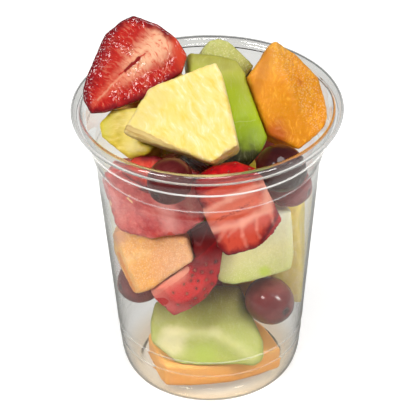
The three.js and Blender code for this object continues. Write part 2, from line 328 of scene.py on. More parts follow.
# %% Where each piece lies
# name: (middle of the main face in mm, way the face looks: degrees round from the front, and up)
PLACES = {
    "grape_front_left": ((-13.5, -31.2, 99), (-38, -19)),
    "grape_right_upper": ((26, -21, 97), (65, -15)),
    "grape_right_lower": ((28.5, -9.5, 82.5), (63, -4)),
    "grape_low_right": ((21.5, -12.3, 34), (40, -2)),
    "grape_low_left": ((-25.2, -4, 38), (-60, 0)),
    "grape_back": ((2, 33, 66), (180, 0)),
    "strawberry_half_top": ((-25.6, 8, 123), (-5, 38)),
    "strawberry_wedge_front": ((11.1, -32, 84.8), (8, 12)),
    "strawberry_slice_left": ((-22, -19, 95), (-20, 40)),
    "strawberry_low_front": ((-9, -25.5, 52.8), (-8, 12)),
    "strawberry_back": ((13, 30, 51), (158, 10)),
    "pineapple_top": ((-8, -12, 115.5), (-6, 48)),
    "pineapple_left": ((-29.6, -5.5, 103.2), (-25, 40)),
    "pineapple_right": ((35.5, 3, 45), (78, 4)),
    "pineapple_back": ((-15, 31, 80), (205, 6)),
    "pineapple_middle": ((6, -2, 83), (20, 70)),
    "cantaloupe_top": ((29.8, 6, 110.7), (25, 38)),
    "cantaloupe_left": ((-21.4, -24, 59.4), (-25, 15)),
    "cantaloupe_floor": ((0, 0, 14), (0, 90)),
    "cantaloupe_back_low": ((19, 24, 26), (142, 5)),
    "cantaloupe_middle": ((2, 0, 62), (-15, 75)),
    "cantaloupe_back_left": ((-22, 24, 104), (215, 35)),
    "honeydew_slice_top": ((10.4, 2, 109.3), (12, 42)),
    "honeydew_back_top": ((7.8, 22, 116.8), (10, 40)),
    "honeydew_slab_right": ((17.3, -17.5, 61.1), (12, 14)),
    "honeydew_bottom": ((-0.9, -17, 24.4), (-3, 40)),
    "honeydew_back_middle": ((-16, 28, 52), (208, 4)),
    "watermelon_left": ((-21, -22, 82.7), (-22, 12)),
    "watermelon_back_low": ((-9, 30, 27), (197, 8)),
    "watermelon_back_right": ((19, 28, 78), (150, 6)),
}
FINE_NET = 0.5 * MM      # spacing of the net on pieces in the open, and on two at the very front
PLAIN_NET = 0.65 * MM    # and on pieces behind the wall
BACK_NET = 0.9 * MM      # and on those at the back and in the middle
IN_SIGHT = ("strawberry_low_front", "strawberry_wedge_front")
TOUCHING = 1e-7          # metres; corners of a solid that lie closer than this are one


def spacing(name):
    if name.endswith("_top") or name in IN_SIGHT:
        return FINE_NET
    return BACK_NET if "back_" in name or name.endswith(("_back", "_middle")) else PLAIN_NET


def axes_of(name):
    """The piece's own x, y and z as world directions, as the rows of a matrix."""
    azimuth, elevation = PLACES[name][1]
    out = facing(azimuth, elevation)
    level = facing(azimuth + 90, 0)
    return np.array([level, out.cross(level), out])


print("pieces of fruit:", len(PLACES))

# %% The fine net
KNIFE_SOFTENING = 4      # rounds of smoothing for an edge as a knife leaves it


def applied(piece):
    """Makes the piece's modifiers part of its mesh."""
    graph = bpy.context.evaluated_depsgraph_get()
    mesh = bpy.data.meshes.new_from_object(piece.evaluated_get(graph))
    piece.modifiers.clear()
    old, piece.data = piece.data, mesh
    bpy.data.meshes.remove(old)
    piece.data.shade_smooth()


def netted(node, soften):
    """The node's solid, its loose triangles joined, under a fine net smoothed `soften` times."""
    shape = bmesh.new()
    shape.from_mesh(frame["nodes"][node].data)
    bmesh.ops.remove_doubles(shape, verts=shape.verts, dist=TOUCHING)
    piece = shown(node + "_fine", as_mesh(shape, node + "_plain"))
    net = piece.modifiers.new("net", "REMESH")
    net.mode = "VOXEL"
    net.voxel_size = spacing(node)
    smooth = piece.modifiers.new("soften", "SMOOTH")
    smooth.factor = 0.5
    smooth.iterations = soften
    applied(piece)
    return piece


def points_of(piece, name):
    """World points and normals, and the same as the piece's own coordinates, points in mm."""
    mesh = piece.data
    places, normals = np.empty((2, len(mesh.vertices) * 3), np.float32)
    mesh.vertices.foreach_get("co", places)
    mesh.vertex_normals.foreach_get("vector", normals)
    places, normals = (v.reshape(-1, 3).astype(float) for v in (places, normals))
    turn = axes_of(name).T
    return places, normals, (places / MM - np.array(PLACES[name][0])) @ turn, normals @ turn


def hum(points, size, seed):
    """Smooth noise from -1 to 1 at each point; `size` is the width of its bumps, in mm."""
    return np.array([noise.noise(Vector(p)) for p in points / size + seed])


def keep(piece, label, values):
    """Stores a number or a vector on every point, for the material to read."""
    kind, field = ("FLOAT_VECTOR", "vector") if values.ndim == 2 else ("FLOAT", "value")
    layer = piece.data.attributes.new(label, kind, "POINT")
    layer.data.foreach_set(field, values.astype(np.float32).ravel())


def push(piece, name, amount):
    """Moves every point along its normal by its amount, in mm."""
    places, normals, *_ = points_of(piece, name)
    places += normals * (amount * MM)[:, None]
    piece.data.vertices.foreach_set("co", places.astype(np.float32).ravel())
    piece.data.update()


def reshape(piece, name, relief):
    """Pushes every point by relief(inner points, inner normals), and keeps the new inner points."""
    push(piece, name, relief(*points_of(piece, name)[2:]))
    keep(piece, "inner", points_of(piece, name)[2])
    print(name, len(piece.data.vertices), "points")


def finish_piece(piece, node, material):
    """The piece stands for its node, rides with the cup, and gets its material."""
    piece.data.materials.clear()
    piece.data.materials.append(material)
    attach(piece, "root")
    if node:
        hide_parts(node)


print("net spacing in mm:", FINE_NET / MM, PLAIN_NET / MM, BACK_NET / MM)

# %% [markdown]
# ## Effects that the fruit shares
# Wet flesh has a fine grain, and most of it has streaks that run one way. A thin film of juice
# makes it glossy in patches. Cut cells stand open, each full of juice, and each is a tiny mirror
# at its own tilt. Veins, scratches and stains lie along short lines. Each of these is a node
# group, built once, and each fruit gives it its own sizes. A group puts out numbers or a normal
# only; the shader itself stays in the material.

# %% Groups for flesh
def new_group(name, inputs, outputs):
    """An empty node group, its given inputs, and the node to fill with its outputs.

    Inputs are {name: default}, with None for a vector. Outputs are {name: type}.
    """
    group = bpy.data.node_groups.new(name, "ShaderNodeTree")
    for label, default in inputs.items():
        kind = "NodeSocketVector" if default is None else "NodeSocketFloat"
        socket = group.interface.new_socket(label, in_out="INPUT", socket_type=kind)
        if default is not None:
            socket.default_value = default
    for label, kind in outputs.items():
        group.interface.new_socket(label, in_out="OUTPUT", socket_type="NodeSocket" + kind)
    given = Wire(group, group.nodes.new("NodeGroupInput").outputs[0])
    return group, given, group.nodes.new("NodeGroupOutput")


def use(group, *values):
    """Places a node group, its inputs given in their order."""
    return joined("Group", values, node_tree=group)


grain, given, out = new_group("flesh_grain", {"Vector": None, "Size mm": 1}, {
    "Height": "Float", "Cells": "Float"})
per_size = 1 / given["Size mm"]
cells = put(grain, "TexVoronoi", {"Vector": given["Vector"], "Scale": per_size}, "Distance")
fill(out, {"Height": cloudy(given["Vector"], per_size, 2, 0.6) * 0.5 + cells * -0.5, "Cells": cells})

streaks, given, out = new_group("fibre_streaks", {
    "Vector": None, "Turn": 0, "Length mm": 12, "Width mm": 0.8, "Waver": 0.6}, {"Streaks": "Float"})
sway = scaled(cloudy(given["Vector"], 0.12, 1, out="Color"), given["Waver"] * 10)
swayed = vectors("ADD", given["Vector"], sway)
turned = put(streaks, "VectorRotate", {"Vector": swayed, "Angle": given["Turn"]}, rotation_type="Z_AXIS")
per_size = put(streaks, "CombineXYZ", {
    "X": 1 / given["Length mm"], "Y": 1 / given["Width mm"], "Z": 0.7 / given["Width mm"]})
fill(out, {"Streaks": cloudy(vectors("MULTIPLY", turned, per_size), 1, 3, 0.62)})

film, given, out = new_group("juice_film", {
    "Vector": None, "Patch mm": 5, "Dry": 0.5, "Wet": 0.12}, {"Roughness": "Float"})
wetness = ranged(cloudy(given["Vector"], 1 / given["Patch mm"], 2), 0.38, 0.6)
fill(out, {"Roughness": given["Dry"] + wetness * (given["Wet"] - given["Dry"])})

open_cells, given, out = new_group("wet_cells", {
    "Vector": None, "Size mm": 0.8, "Tilt": 0.4}, {"Normal": "Vector"})
lean = put(open_cells, "TexVoronoi", {"Vector": given["Vector"], "Scale": 1 / given["Size mm"]}, "Color")
lean = scaled(vectors("SUBTRACT", lean, (0.5, 0.5, 0.5)), given["Tilt"] * 2)
leaning = vectors("ADD", put(open_cells, "NewGeometry", out="Normal"), lean)
fill(out, {"Normal": vectors("NORMALIZE", leaning)})

line_distance, given, out = new_group("line_distance", {
    "Vector": None, "Start": None, "Run": None}, {"Distance": "Float"})
from_start = vectors("MULTIPLY", vectors("SUBTRACT", given["Vector"], given["Start"]), (1, 1, 0))
whole = vectors("DOT_PRODUCT", given["Run"], given["Run"])
share = maths("DIVIDE", vectors("DOT_PRODUCT", from_start, given["Run"]), whole, clamp=True)
fill(out, {"Distance": vectors("DISTANCE", from_start, scaled(given["Run"], share))})
print("groups:", [group.name for group in bpy.data.node_groups])

# %% Drawing on a face
CRISP_EDGE = 0.35        # mm


def soft(start, end, half_width, colour, strength):
    """A line that fades from its middle to its edge."""
    return start, end, half_width, half_width, colour, strength


def crisp(start, end, half_width, colour, strength):
    """A line with a sharp edge."""
    return start, end, half_width, CRISP_EDGE, colour, strength


def away_from(point, start, end):
    """How far a point of the face lies from the line between two places on it."""
    return use(line_distance, point, (*start, 0), (end[0] - start[0], end[1] - start[1], 0))


def drawn(colour, point, lines):
    """Draws soft and crisp lines over a colour."""
    for start, end, half_width, edge, tint, strength in lines:
        line = ranged(away_from(point, start, end), half_width, half_width - edge, 0, strength)
        colour = mixed(line, colour, tint)
    return colour


def unsteady(point, size=3.0, amount=1.0):
    """The point moved about by up to `amount` mm, so that what is drawn there wavers."""
    stir = vectors("SUBTRACT", cloudy(point, 1 / size, 2, out="Color"), (0.5, 0.5, 0.5))
    return vectors("ADD", point, scaled(stir, 2 * amount))


print("crisp lines fade over", CRISP_EDGE, "mm")

# %% [markdown]
# Flesh lets light in and gives it back softly, so it has subsurface scattering. The helper below
# starts such a material: it reads the piece's inner coordinates, and later ties colour,
# roughness and bump to the one Principled shader.

# %% Starting and closing a flesh material
def start_material(name, seed=0.0):
    """A material, its tree, the inner coordinates, and the same moved far off by the seed, for noise."""
    material, tree, _ = new_material(name)
    inner = put(tree, "Attribute", out="Vector", attribute_name="inner")
    return material, tree, inner, vectors("ADD", inner, (37 * seed, 19 * seed, 53 * seed))


def close_material(colour, roughness, height, depth_mm, normal=None, *, spread, scatter=0.35,
                   reach_mm=2.0, coat=0.0, coat_roughness=0.08, ior=1.36, shine=0.5):
    """Ties colour, roughness and relief to the shader. Height 0 to 1 is depth_mm of bump.

    scatter is how much light goes into the flesh, reach_mm how far, and spread how far each of red,
    green and blue; shine is the strength of the mirror image, and coat that of a film of water.
    """
    sockets = {"Height": height, "Distance": depth_mm * MM}
    bump = put(colour.tree, "Bump", {**sockets, "Normal": normal} if normal else sockets)
    fill(colour.tree.nodes["Principled BSDF"], {
        "Base Color": colour, "Roughness": roughness, "Normal": bump, "Coat Normal": bump, "IOR": ior,
        "Specular IOR Level": shine, "Coat Weight": coat, "Coat Roughness": coat_roughness,
        "Subsurface Weight": scatter, "Subsurface Radius": spread, "Subsurface Scale": reach_mm * MM})


print("flesh materials start from the 'inner' attribute")

# %% [markdown]
# ## Pineapple
# Pineapple flesh is a bundle of pale fibres in yellow juice. Near the core they lie close and
# pale, and the knife tears them at the edges, so the outline is a little ragged. Fibres are made
# twice: as low ridges in the mesh, and as streaks of colour that run the same way.

# %% Pineapple material
FRESH = dict(pale=(0.85, 0.68, 0.29), juicy=(0.83, 0.65, 0.20), deep=(0.77, 0.58, 0.10),
             white=(0.93, 0.82, 0.53))
SOAKED = dict(pale=(0.66, 0.50, 0.08), juicy=(0.60, 0.45, 0.04), deep=(0.50, 0.36, 0.015),
              white=(0.82, 0.68, 0.22))
FIBRE_BEIGE, FIBRE_PALE = (0.44, 0.27, 0.07), (0.66, 0.50, 0.20)
BEIGE_TURN = math.radians(22)    # way of the fibres where their sides show


def pineapple_material(name, turn, seed, tints, side_edge, band, lines):
    """turn is the way of the fibres on the main face, in degrees from its x.

    Sides further left than side_edge, in the piece's own x, show the beige sides of the fibres, and
    so does the band of the main face along a line (start, end, half width).
    """
    material, _, inner, moved = start_material(name, seed)
    broad = use(streaks, moved, math.radians(-turn), 5.5, 2, 0.6)
    fine = use(streaks, moved, math.radians(-turn), 6, 0.7, 0.6)
    colour = ramp(broad, (0.30, tints["deep"]), (0.46, tints["juicy"]), (0.62, tints["pale"]))
    whitish = ranged(broad, 0.50, 0.66) * ranged(fine, 0.40, 0.62)
    colour = mixed(whitish * 0.55, colour, tints["white"])
    colour = drawn(colour, unsteady(inner, 4, 2), lines)
    at = parts(inner)
    side = ranged(at["Z"], -0.8, -3) * ranged(at["X"], side_edge + 3, side_edge)
    if band:
        start, end, half_width = band
        away = away_from(unsteady(inner, 3, 0.8), start, end)
        side = maths("MAXIMUM", side * 0.5, ranged(away, half_width, half_width - 0.5, 0, 1.2))
    beige = ramp(use(streaks, moved, BEIGE_TURN, 14, 0.9, 0.2), (0.35, FIBRE_BEIGE), (0.65, FIBRE_PALE))
    colour = mixed(side * 0.8, colour, beige)
    close_material(colour, use(film, moved, 6, 0.5, 0.28), fine * 0.5 + use(grain, moved, 1.3) * 0.3, 0.15,
                   spread=(1.0, 0.8, 0.3), shine=0.35)
    return material


def ragged(inner, normals, size, seed):
    """Bumps that show where the surface turns, at edges, and not on the flat faces."""
    return hum(inner, size, seed) * (1 - np.abs(normals).max(1))


def pineapple_relief(turn):
    """Ridges along the fibres, with ragged notches at the edges."""
    a = math.radians(turn)

    def relief(inner, normals):
        along = inner[:, 0] * math.cos(a) + inner[:, 1] * math.sin(a)
        across = -inner[:, 0] * math.sin(a) + inner[:, 1] * math.cos(a)
        fibres = hum(np.stack([along / 9, across, inner[:, 2]], 1), 1.4, 3.1)
        return 0.12 * fibres + 0.2 * hum(inner, 7, 1.3) + 1.54 * ragged(inner, normals, 2.2, 7.7)
    return relief


PINEAPPLES = {  # name: (way of the fibres, seed, tints, how far right the beige side reaches)
    "pineapple_top": (-58, 1, FRESH, -2),
    "pineapple_left": (20, 2, SOAKED, -10),
    "pineapple_right": (85, 3, FRESH, -30),
    "pineapple_back": (70, 4, FRESH, -30),
    "pineapple_middle": (10, 5, SOAKED, -30),
}
BANDS = {"pineapple_top": ((-21, -9.5), (1, -19.2), 4.5)}
PATCHES = {
    "pineapple_top": [
        soft((-7, 4), (-2, -2), 4.5, (0.80, 0.60, 0.09), 0.5),
        # a thin darker line where the face turns down to its side: painted shade
        soft((-17, -6.5), (5, -16), 0.9, (0.66, 0.45, 0.09), 0.4),
        soft((-19, 1), (-11, 11), 2.4, (0.66, 0.50, 0.22), 0.5),
        soft((-17, -5), (-9, 6), 7, (0.66, 0.56, 0.19), 0.5)],
    # a paler patch over the whole piece: painted light that lifts the shade it lies in
    "pineapple_right": [soft((0, -20), (0, 20), 16, (0.95, 0.75, 0.17), 0.7)],
    "pineapple_left": [
        soft((-9, 8), (-8, -6), 5, (0.50, 0.44, 0.045), 0.7),
        soft((0, 9), (4, -4), 5.5, (0.84, 0.69, 0.18), 0.8)],
}
for name, looks in PINEAPPLES.items():
    piece = netted(name, KNIFE_SOFTENING)
    reshape(piece, name, pineapple_relief(looks[0]))
    finish_piece(piece, name, pineapple_material(
        name, *looks, BANDS.get(name), PATCHES.get(name, ())))

# %% [markdown]
# ## Melon
# Honeydew and cantaloupe are cut the same way and differ in colour: smooth where a sharp knife
# passed, rough and grainy where the seeds were scraped out. The flesh turns paler and greener
# from the middle of the fruit to its rind, so each piece has its own slow change of colour
# across it, along a direction given in its inner coordinates.

# %% Melon material
VEINS = {"honeydew": ((0.72, 0.72, 0.36), (0.25, 0.36, 0.01)),      # pale and dark fibres
         "cantaloupe": ((0.88, 0.44, 0.04), (0.60, 0.16, 0.01))}
CELL_PALE = (1.0, 0.9, 0.7)


def blend(first, second, amount):
    """A colour between two others."""
    return tuple(a + (b - a) * amount for a, b in zip(first, second))


def melon_material(name, stops, seed, along=(0, 1, 0), rough=0.0, rough_side=None, lines=(), marks=(),
                   fibre_turn=60, fibre_strength=0.1):
    """stops are (mm along a direction, colour). rough is how grainy the cut is.

    rough_side (x, y, mm) limits the grain to the side of a line that faces that way. marks are
    round patches: (place, radius, colour, strength).
    """
    material, _, inner, moved = start_material(name, seed)
    vein_pale, vein_dark = VEINS[name.split("_")[0]]
    clouds = cloudy(moved, 0.13, 3) - 0.5
    low, high = stops[0][0], stops[-1][0]
    place = vectors("DOT_PRODUCT", inner, Vector(along).normalized()) + clouds * ((high - low) * 0.35)
    colour = ramp(ranged(place, low, high, smooth=False),
                  *(((mm - low) / (high - low), tint) for mm, tint in stops))
    coarse = rough
    if rough_side:
        x, y, offset = rough_side
        side = vectors("DOT_PRODUCT", unsteady(inner, 4, 2), Vector((x, y, 0)).normalized())
        coarse = ranged(side, offset - 2, offset + 2, 0.05, rough)
    grains = use(grain, moved, 0.65)
    lighter = ranged(grains["Cells"], 0.5, 0.1) * (coarse * 0.62 + 0.03)
    colour = mixed(lighter, colour, blend(stops[-1][1], CELL_PALE, 0.5))
    fibres = use(streaks, moved, math.radians(-fibre_turn), 5, 1, 0.9)
    colour = mixed(ranged(fibres, 0.52, 0.68, 0, fibre_strength), colour, vein_pale)
    colour = mixed(ranged(fibres, 0.46, 0.30, 0, fibre_strength), colour, mixed(0.5, colour, vein_dark))
    for spot, radius, tint, strength in marks:
        away = vectors("DISTANCE", inner, spot) + clouds * radius
        colour = mixed(ranged(away, radius, radius * 0.3, 0, strength), colour, tint)
    colour = drawn(colour, unsteady(inner), lines)
    close_material(colour, use(film, moved, 7, 0.55, 0.36), grains["Height"] * (coarse * 0.3 + 0.1), 0.4,
                   use(open_cells, moved, 0.6, coarse * 0.3), scatter=0.4, reach_mm=2.5,
                   spread=(1.0, 0.85, 0.35), ior=1.33, shine=0.35)
    return material


def line_ridges(inner, lines):
    """Height of soft ridges along lines: (start, end, half width, height), all in mm."""
    total = np.zeros(len(inner))
    for start, end, half_width, height in lines:
        start, run = np.array(start), np.array(end) - np.array(start)
        share = np.clip((inner[:, :2] - start) @ run / (run @ run), 0, 1)
        away = np.linalg.norm(inner[:, :2] - start - share[:, None] * run, axis=1)
        total = np.maximum(total, height * np.exp(-(away / half_width) ** 2))
    return total * (inner[:, 2] > -8)


def melon_relief(rough, seed, ridges, reach_left):
    """Slow waves, grain and ridges; reach_left, in mm, carries the left edge of the upper part out."""
    def relief(inner, normals):
        grains = hum(inner, 1.5, seed + 5) * (0.03 + 0.15 * rough)
        swell = 0.25 * hum(inner, 12, seed) + 0.05 * hum(inner, 4, seed + 2)
        left = reach_left * np.clip(-normals[:, 0], 0, 1) * (inner[:, 1] > 8)
        return swell + grains + line_ridges(inner, ridges) + left
    return relief


print("melon veins:", list(VEINS))

# %% Melon pieces
GREEN_PALE, GREEN = (0.62, 0.62, 0.20), (0.44, 0.48, 0.07)
ORANGE_PALE, ORANGE, ORANGE_DEEP = (0.80, 0.41, 0.09), (0.76, 0.30, 0.022), (0.64, 0.19, 0.012)
CREAM_GREEN = (0.70, 0.66, 0.36)
EDGE_LEFT, EDGE_RIGHT = ((2.6, -1.1), (-13.5, -1.7)), ((2.6, -1.1), (16.3, -10))  # of the low honeydew
MELONS = {  # name: looks
    "honeydew_slice_top": dict(
        # its two darkest stops, at the lower end, are painted shade where it lies between pineapple and grape
        stops=[(-20, (0.025, 0.020, 0.004)), (-16, (0.06, 0.06, 0.006)), (-11, (0.30, 0.42, 0.008)),
               (-4, (0.42, 0.55, 0.008)), (4, (0.41, 0.50, 0.012)), (10, (0.43, 0.46, 0.05)),
               (14, (0.42, 0.41, 0.08)), (17, (0.33, 0.31, 0.05)), (19.5, (0.46, 0.42, 0.14))],
        along=(0.3, 1, 0), seed=1, fibre_turn=80,
        lines=[crisp((-2.6, -6.7), (5.9, -6.3), 0.35, (0.55, 0.62, 0.2), 0.5),
               soft((11, 10), (12.5, -8), 3, (0.60, 0.60, 0.16), 0.5)]),
    "honeydew_back_top": dict(
        stops=[(-15, (0.36, 0.36, 0.08)), (-4, (0.42, 0.42, 0.11)), (8, (0.52, 0.52, 0.17))],
        rough=0.9, seed=2),
    "honeydew_slab_right": dict(
        # towards its top it turns paler: partly its own colour, partly painted light that lifts the shade of
        # the wedge and grape above
        stops=[(-16, (0.42, 0.48, 0.08)), (-12, (0.58, 0.60, 0.18)), (-2, (0.84, 0.78, 0.38)),
               (9, (1.0, 0.96, 0.70))],
        along=(0, 1, 0.3), seed=3, rough=0.32,
        marks=[((2, -10, 0), 3.2, (0.55, 0.66, 0.06), 0.8)]),
    "honeydew_bottom": dict(
        # darker towards its upper end, under the strawberry: painted shade
        stops=[(-12, (0.44, 0.47, 0.10)), (-6, (0.43, 0.46, 0.11)), (2, (0.40, 0.41, 0.10)),
               (9, (0.31, 0.28, 0.06)), (13, (0.24, 0.18, 0.045))],
        rough=0.2, seed=4, fibre_turn=120,
        marks=[((-12.5, -3.5, 0), 8, (0.74, 0.67, 0.38), 0.9), ((-1, -9, 0), 6, (0.42, 0.50, 0.08), 0.7),
               ((14, -13, -3), 3, (0.38, 0.54, 0.02), 0.9)],
        lines=[soft(*EDGE_LEFT, 4.2, CREAM_GREEN, 0.4), soft(*EDGE_RIGHT, 4, CREAM_GREEN, 0.35)]),
    "honeydew_back_middle": dict(stops=[(-12, GREEN), (12, GREEN_PALE)], along=(1, 0, 0), seed=5),
    "cantaloupe_top": dict(
        stops=[(-20, (0.64, 0.22, 0.003)), (-6, (0.68, 0.25, 0.004)), (6, (0.76, 0.29, 0.016)),
               (18, (0.72, 0.33, 0.04))],
        along=(-0.1, 1, 0), rough=0.9, rough_side=(0.97, 0.23, 0.7), seed=6, fibre_turn=70,
        fibre_strength=0.6,
        marks=[((-9.5, -12, -2), 7, (0.46, 0.08, 0.010), 0.8),
               # the dark mark in the dent: painted shade in that hollow
               ((3.8, 3.6, 0), 2.6, (0.60, 0.17, 0.012), 0.8)],
        # the darker strip along its left side: painted shade on the side turned from the light
        lines=[soft((-14, 2), (-4, 17), 3.5, (0.56, 0.19, 0.015), 0.7)]),
    "cantaloupe_left": dict(
        stops=[(-14, (0.84, 0.44, 0.12)), (-2, (0.80, 0.37, 0.09)), (4, (0.78, 0.37, 0.15)),
               (12, (0.80, 0.42, 0.21))],
        along=(0.9, 0.3, 0), rough=0.8, seed=7, fibre_turn=80, fibre_strength=0.35,
        marks=[((-14, 7, -2), 6, (0.66, 0.30, 0.15), 0.8)],
        lines=[crisp((-6.4, -12.6), (-12.8, -1), 1.5, (0.80, 0.27, 0.03), 0.9),
               soft((-9.5, -1.5), (-1.5, 3.6), 3, (0.92, 0.60, 0.26), 0.4)]),
    "cantaloupe_floor": dict(
        stops=[(-9, (0.84, 0.36, 0.08)), (1, (0.86, 0.45, 0.14))], along=(0, 0, 1), seed=8),
    "cantaloupe_back_low": dict(stops=[(-12, ORANGE), (12, ORANGE_PALE)], along=(1, 0, 0), seed=9),
    "cantaloupe_middle": dict(stops=[(-12, ORANGE_DEEP), (12, ORANGE)], along=(1, 0, 0), seed=10),
    "cantaloupe_back_left": dict(stops=[(-12, ORANGE), (12, ORANGE_PALE)], seed=11),
}
RIDGES = {"honeydew_bottom": [(*EDGE_LEFT, 3, 0.9), (*EDGE_RIGHT, 3, 0.9)],
          "cantaloupe_top": [((3.8, 3.6), (3.9, 3.7), 2.2, -0.9), ((-1.6, 20), (0, -12), 3, 0.8)]}
REACHES_LEFT = {"honeydew_slice_top": 1.2}
ROUNDING = {"honeydew_slice_top": 45, "honeydew_bottom": 14, "honeydew_back_top": 14, "cantaloupe_top": 9}
PLAIN_ROUNDING = 5       # rounds of smoothing; the pieces above have softer edges
for name, looks in MELONS.items():
    piece = netted(name, ROUNDING.get(name, PLAIN_ROUNDING))
    reshape(piece, name, melon_relief(
        looks.get("rough", 0), looks["seed"], RIDGES.get(name, ()), REACHES_LEFT.get(name, 0)))
    finish_piece(piece, name, melon_material(name, **looks))

# %% [markdown]
# ## Watermelon
# Watermelon flesh is coarse: large cells full of juice, which the knife opens, so the surface
# sparkles and the colour runs from deep to pale red from cell to cell. A few soft white seeds
# were cut through.

# %% Watermelon
def watermelon_material(name, seed, lines):
    material, _, inner, moved = start_material(name, seed)
    colour = ramp(cloudy(moved, 0.14, 5, 0.62), (0.3, (0.38, 0.02, 0.02)), (0.48, (0.52, 0.055, 0.05)),
                  (0.66, (0.66, 0.16, 0.13)))
    grains = use(grain, moved, 1.3)
    colour = mixed(ranged(grains["Cells"], 0.5, 0.1, 0, 0.12), colour, (0.85, 0.32, 0.25))
    colour = drawn(colour, unsteady(inner, 4, 1.5), lines)
    close_material(colour, use(film, moved, 4, 0.45, 0.2), grains["Height"], 0.2,
                   use(open_cells, moved, 0.8, 0.14), scatter=0.3, spread=(1.0, 0.25, 0.2))
    return material


def watermelon_relief(inner, normals):
    return 0.4 * hum(inner, 8, 4) + 0.08 * hum(inner, 1.8, 9) + 2.6 * ragged(inner, normals, 2.4, 2.2)


SEED_TRACE, DEEP_STREAK, PALE_FLESH = (0.85, 0.60, 0.30), (0.36, 0.015, 0.025), (0.76, 0.29, 0.25)
WATERMELONS = {  # name: (seed, drawn lines)
    "watermelon_left": (1, [
        soft((5, 4), (8.5, -6), 6, PALE_FLESH, 0.8), soft((-5, -2), (2, -9.5), 2.6, DEEP_STREAK, 0.5),
        # a near-black band along its top: painted shade, deep under the pieces above
        soft((3, 17), (17, 13.5), 4.5, (0.04, 0.005, 0.005), 0.95),
        soft((-15, 4), (-12, -6), 3, PALE_FLESH, 0.3),
        # deeper red where the flesh touches the wall: painted, since the wall's veiling reflection is missing
        # there
        crisp((8.5, -9.3), (10.5, -10.6), 1.3, (0.62, 0.05, 0.03), 0.9),
        crisp((-7.9, 1.3), (-7.3, 0.1), 0.7, SEED_TRACE, 0.9),
        crisp((-15.5, -1.8), (-15, -3), 0.6, SEED_TRACE, 0.9)]),
    "watermelon_back_low": (2, []), "watermelon_back_right": (3, [])}
for name, looks in WATERMELONS.items():
    piece = netted(name, KNIFE_SOFTENING)
    reshape(piece, name, watermelon_relief)
    finish_piece(piece, name, watermelon_material(name, *looks))

# %% [markdown]
# ## Strawberry
# A cut strawberry shows two surfaces. The cut face is pale in the core and red towards the skin,
# with veins that fan out from the core to each seed. The skin is deep red and glossy, and every
# seed sits in a dimple. Which of the two a point belongs to follows from its inner coordinates,
# so the border stays crisp. The veins are drawn in coordinates of the berry's own axis: along
# it, from tip to stem, and away from it.

# %% The berry's axis, and the distance from the skin
FACE_LEVEL = -0.7        # a point higher than this, in its piece's own z, is on the cut face
berry_axis, given, out = new_group("berry_axis", {"Vector": None, "Tip": None, "Way": None}, {
    "Along": "Float", "Away": "Float", "Side": "Float"})
from_tip = vectors("SUBTRACT", given["Vector"], given["Tip"])
side = parts(vectors("CROSS_PRODUCT", from_tip, given["Way"]))["Z"]
fill(out, {"Along": vectors("DOT_PRODUCT", from_tip, given["Way"]), "Side": side,
           "Away": maths("ABSOLUTE", side)})


def keep_rim(piece, name):
    """Stores on every point how far it lies from the skin, in mm, for the colours of the cut face."""
    places, _, inner, ways = points_of(piece, name)
    skin = np.flatnonzero((inner[:, 2] < FACE_LEVEL) | (ways[:, 2] < 0.55))
    tree = kdtree.KDTree(len(skin))
    for index in skin:
        tree.insert(places[index], int(index))
    tree.balance()
    keep(piece, "rim", np.array([tree.find(place)[2] for place in places]) / MM)


print("face level in mm:", FACE_LEVEL)

# %% Strawberry materials
SKIN_DEEP, SKIN = (0.13, 0.003, 0.006), (0.50, 0.006, 0.010)
FLESH_DEEP, FLESH_RED = (0.22, 0.003, 0.006), (0.47, 0.010, 0.006)
FLESH_SALMON, FLESH_CREAM = (0.72, 0.14, 0.07), (0.86, 0.48, 0.29)
SPECKLE, VEIN = (0.30, 0.03, 0.02), blend(FLESH_SALMON, FLESH_CREAM, 0.5)
LEAN_OF_VEINS = 0.25     # how much the veins lean towards the stem as they run outwards
DULL_CELLS = 0.08        # how far the cells tilt where nothing sparkles


